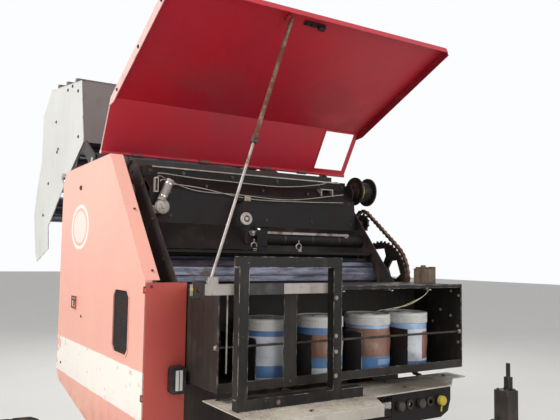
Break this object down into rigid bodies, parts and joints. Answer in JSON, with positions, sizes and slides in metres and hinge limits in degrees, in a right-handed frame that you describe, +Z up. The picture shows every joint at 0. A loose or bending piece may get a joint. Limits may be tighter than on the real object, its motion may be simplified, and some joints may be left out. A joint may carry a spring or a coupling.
{
  "type": "round baler",
  "caption": "Towed round baler with a chamber of ribbed rollers, raised tailgate and hood, twine box, tined pick-up and jack.",
  "frame": {"origin": "centre of the bounding box in plan, on the ground", "axes": "+X to the machine's left, +Y from the hitch to the tailgate, +Z up"},
  "size_m": [2.3, 4.5706, 2.893],
  "materials": {
    "red_paint": "faded and dusty",
    "grey_paint": "weathered",
    "plate_paint": "worn",
    "bare_steel": "worn bright",
    "worn_steel": "oily and rusty",
    "white_paint": "dusty",
    "black_paint": "worn satin",
    "black_plastic": "matt",
    "lens": "smooth",
    "tyre": "dusty",
    "wheel_rubber": "worn",
    "twine": "wound",
    "cast_housing": "dusty"
  },
  "bodies": {
    "frame": {"side_plates": "plate_paint", "cross_tubes": "red_paint", "frame_brackets": "red_paint", "box_supports": "black_paint", "axle": "red_paint", "main_rollers": "bare_steel", "main_bearings": "white_paint", "front_panel": "red_paint", "lamp_body": "black_plastic", "lamp_lens": "lens", "hinge_pins": "bare_steel", "twine_box": "black_paint", "twine_packs": "twine", "oiler": "cast_housing", "step_frame": "black_paint", "stay_bar": "white_paint", "platform": "black_paint", "hose_holder": "black_paint", "drawbar": "red_paint", "hitch_ring": "red_paint", "jack_tube": "black_paint", "gearbox": "cast_housing", "cross_shaft": "bare_steel", "shaft_guard": "black_plastic", "shaft_yokes": "bare_steel", "sprockets": "worn_steel", "drive_chains": "worn_steel", "net_unit": "black_paint", "net_actuator": "white_paint", "twine_arm": "black_paint"},
    "wheel_left": {"tyre_left": "tyre", "rim_left": "white_paint"},
    "wheel_right": {"tyre_right": "tyre", "rim_right": "white_paint"},
    "door": {"door_right": "red_paint", "door_grille": "black_paint"},
    "hood": {"hood": "red_paint", "hood_flanges": "red_paint"},
    "stay_rod": {"stay_rod": "worn_steel"},
    "stay_tube": {"stay_tube": "bare_steel"},
    "tailgate": {"gate_sides": "grey_paint", "gate_arms": "plate_paint", "gate_skin": "grey_paint", "gate_rollers": "bare_steel", "gate_bearings": "white_paint"},
    "ram_barrel_left": {"ram_barrel_left": "black_paint"},
    "ram_barrel_right": {"ram_barrel_right": "black_paint"},
    "ram_rod_left": {"ram_rod_left": "bare_steel"},
    "ram_rod_right": {"ram_rod_right": "bare_steel"},
    "jack_leg": {"jack_leg": "black_paint"},
    "pickup": {"pickup_frame": "black_paint", "pickup_strippers": "worn_steel"},
    "reel": {"pickup_reel": "worn_steel"},
    "gauge_wheel_left": {"gauge_wheel_left": "wheel_rubber"},
    "gauge_wheel_right": {"gauge_wheel_right": "wheel_rubber"},
    "drum": {"drum": "black_paint"}
  },
  "joints": [
    {"name": "wheel_left_spin", "type": "hinge", "parent": "frame", "child": "wheel_left", "pos_m": [1.005, 0.61971, 0.422], "axis": [1, 0, 0], "continuous": true},
    {"name": "wheel_right_spin", "type": "hinge", "parent": "frame", "child": "wheel_right", "pos_m": [-1.005, 0.61971, 0.422], "axis": [1, 0, 0], "continuous": true},
    {"name": "hood_lift", "type": "hinge", "parent": "frame", "child": "hood", "pos_m": [0, 0.15971, 2.2], "axis": [1, 0, 0], "range_deg": [0, 66]},
    {"name": "stay_swing", "type": "hinge", "parent": "frame", "child": "stay_rod", "pos_m": [-0.63, -0.84529, 1.606], "axis": [0, 0.9853, -0.1711], "range_deg": [0, 68.1]},
    {"name": "stay_slide", "type": "slide", "parent": "stay_rod", "child": "stay_tube", "axis": [0.3735, 0.1587, 0.9139], "range_m": [-0.5702, 0]},
    {"name": "tailgate_lift", "type": "hinge", "parent": "frame", "child": "tailgate", "pos_m": [0, 0.74971, 2.24], "axis": [1, 0, 0], "range_deg": [-75, 0]},
    {"name": "door_swing", "type": "hinge", "parent": "frame", "child": "door", "pos_m": [-0.736, -0.48529, 0], "axis": [0, 0, 1], "range_deg": [0, 110]},
    {"name": "jack_slide", "type": "slide", "parent": "frame", "child": "jack_leg", "axis": [0, 0, 1], "range_m": [0, 0.32]},
    {"name": "pickup_lift", "type": "hinge", "parent": "frame", "child": "pickup", "pos_m": [0, -0.17029, 0.66], "axis": [1, 0, 0], "range_deg": [0, 16]},
    {"name": "reel_spin", "type": "hinge", "parent": "pickup", "child": "reel", "pos_m": [0, -0.62029, 0.46], "axis": [1, 0, 0], "continuous": true},
    {"name": "gauge_left_spin", "type": "hinge", "parent": "pickup", "child": "gauge_wheel_left", "pos_m": [0.79, -0.46029, 0.3], "axis": [1, 0, 0], "continuous": true},
    {"name": "gauge_right_spin", "type": "hinge", "parent": "pickup", "child": "gauge_wheel_right", "pos_m": [-0.79, -0.46029, 0.3], "axis": [1, 0, 0], "continuous": true},
    {"name": "drum_spin", "type": "hinge", "parent": "frame", "child": "drum", "pos_m": [0.687, -0.08529, 2.078], "axis": [1, 0, 0], "continuous": true},
    {"name": "ram_left_swing", "type": "hinge", "parent": "frame", "child": "ram_barrel_left", "pos_m": [0.672, 0.49571, 1.06], "axis": [1, 0, 0], "range_deg": [0, 9.82]},
    {"name": "ram_left_stroke", "type": "slide", "parent": "ram_barrel_left", "child": "ram_rod_left", "axis": [0, 0.5104, 0.8599], "range_m": [-0.46974, 0]},
    {"name": "ram_right_swing", "type": "hinge", "parent": "frame", "child": "ram_barrel_right", "pos_m": [-0.672, 0.49571, 1.06], "axis": [1, 0, 0], "range_deg": [0, 9.82]},
    {"name": "ram_right_stroke", "type": "slide", "parent": "ram_barrel_right", "child": "ram_rod_right", "axis": [0, 0.5104, 0.8599], "range_m": [-0.46974, 0]}
  ],
  "couplings": [
    {"joint": "stay_swing", "follows": "hood_lift", "ratio": 1.0314},
    {"joint": "stay_slide", "follows": "hood_lift", "m_per_rad": -0.49483},
    {"joint": "ram_left_swing", "follows": "tailgate_lift", "ratio": -0.1306},
    {"joint": "ram_left_stroke", "follows": "tailgate_lift", "m_per_rad": 0.3587},
    {"joint": "ram_right_swing", "follows": "tailgate_lift", "ratio": -0.1306},
    {"joint": "ram_right_stroke", "follows": "tailgate_lift", "m_per_rad": 0.3587}
  ]
}
